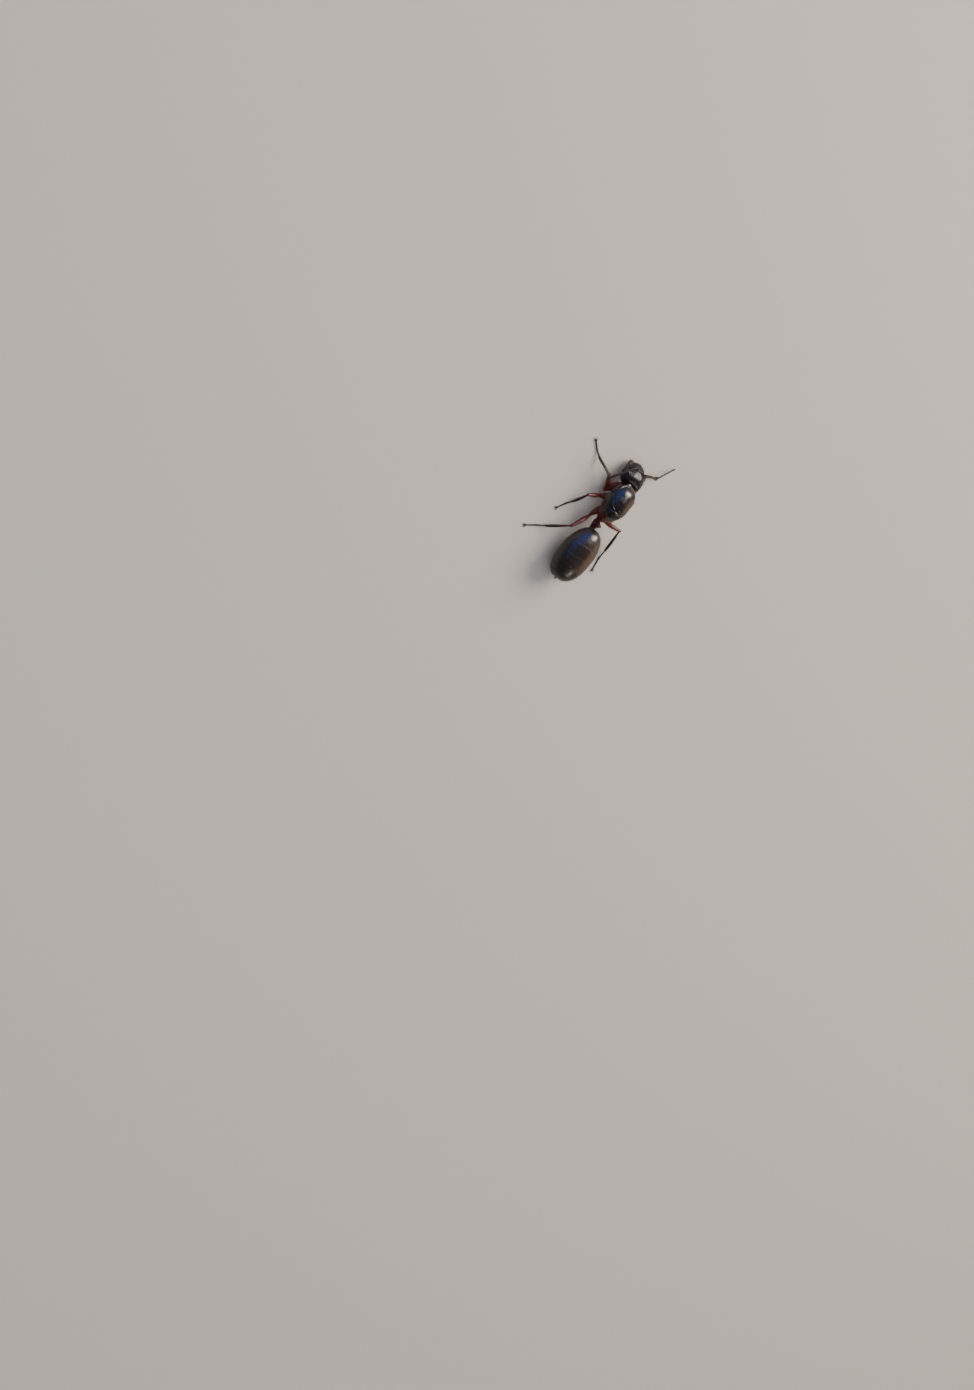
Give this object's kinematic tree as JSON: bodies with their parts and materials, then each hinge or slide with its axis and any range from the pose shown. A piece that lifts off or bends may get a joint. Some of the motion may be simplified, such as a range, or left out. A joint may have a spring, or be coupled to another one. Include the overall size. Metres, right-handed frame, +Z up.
{
  "type": "carpenter ant queen, still life-size model",
  "caption": "Wingless carpenter ant queen standing with her feelers and legs spread, a still life-size model for a museum case.",
  "frame": {"origin": "on the floor under the middle of the whole ant's box", "axes": "+Z up, the ant heads towards -Y and her left side is on +X"},
  "size_m": [0.0124, 0.0198, 0.0048],
  "materials": {
    "head_black": "polished black chitin of the head capsule",
    "plate_black": "glossy black chitin of the wing plates on the thorax",
    "thorax_red": "dark red-brown satin chitin of the thorax sides and waist",
    "gaster_black": "glossy brown-black chitin of the gaster",
    "leg_red": "dark red chitin of hips and thighs",
    "leg_dark": "blackish brown chitin of shins, feet, feelers and jaws",
    "eye_black": "black faceted eye"
  },
  "bodies": {
    "root": {"coxa_fore_left": "leg_red", "coxa_fore_right": "leg_red", "coxa_hind_left": "leg_red", "coxa_hind_right": "leg_red", "coxa_mid_left": "leg_red", "coxa_mid_right": "leg_red", "eye_left": "eye_black", "eye_right": "eye_black", "femur_fore_left": "leg_red", "femur_fore_right": "leg_red", "femur_hind_left": "leg_red", "femur_hind_right": "leg_red", "femur_mid_left": "leg_red", "femur_mid_right": "leg_red", "funiculus_left": "leg_dark", "funiculus_right": "leg_dark", "gaster_1": "gaster_black", "gaster_2": "gaster_black", "gaster_3": "gaster_black", "gaster_4": "gaster_black", "gaster_5": "gaster_black", "head": "head_black", "mandible_left": "leg_dark", "mandible_right": "leg_dark", "mesoscutum": "plate_black", "mesothorax": "thorax_red", "petiole": "thorax_red", "pronotum": "thorax_red", "propodeum": "thorax_red", "scape_left": "leg_dark", "scape_right": "leg_dark", "scutellum": "plate_black", "tarsus_fore_left": "leg_dark", "tarsus_fore_right": "leg_dark", "tarsus_hind_left": "leg_dark", "tarsus_hind_right": "leg_dark", "tarsus_mid_left": "leg_dark", "tarsus_mid_right": "leg_dark", "tibia_fore_left": "leg_dark", "tibia_fore_right": "leg_dark", "tibia_hind_left": "leg_dark", "tibia_hind_right": "leg_dark", "tibia_mid_left": "leg_dark", "tibia_mid_right": "leg_dark"}
  },
  "joints": []
}
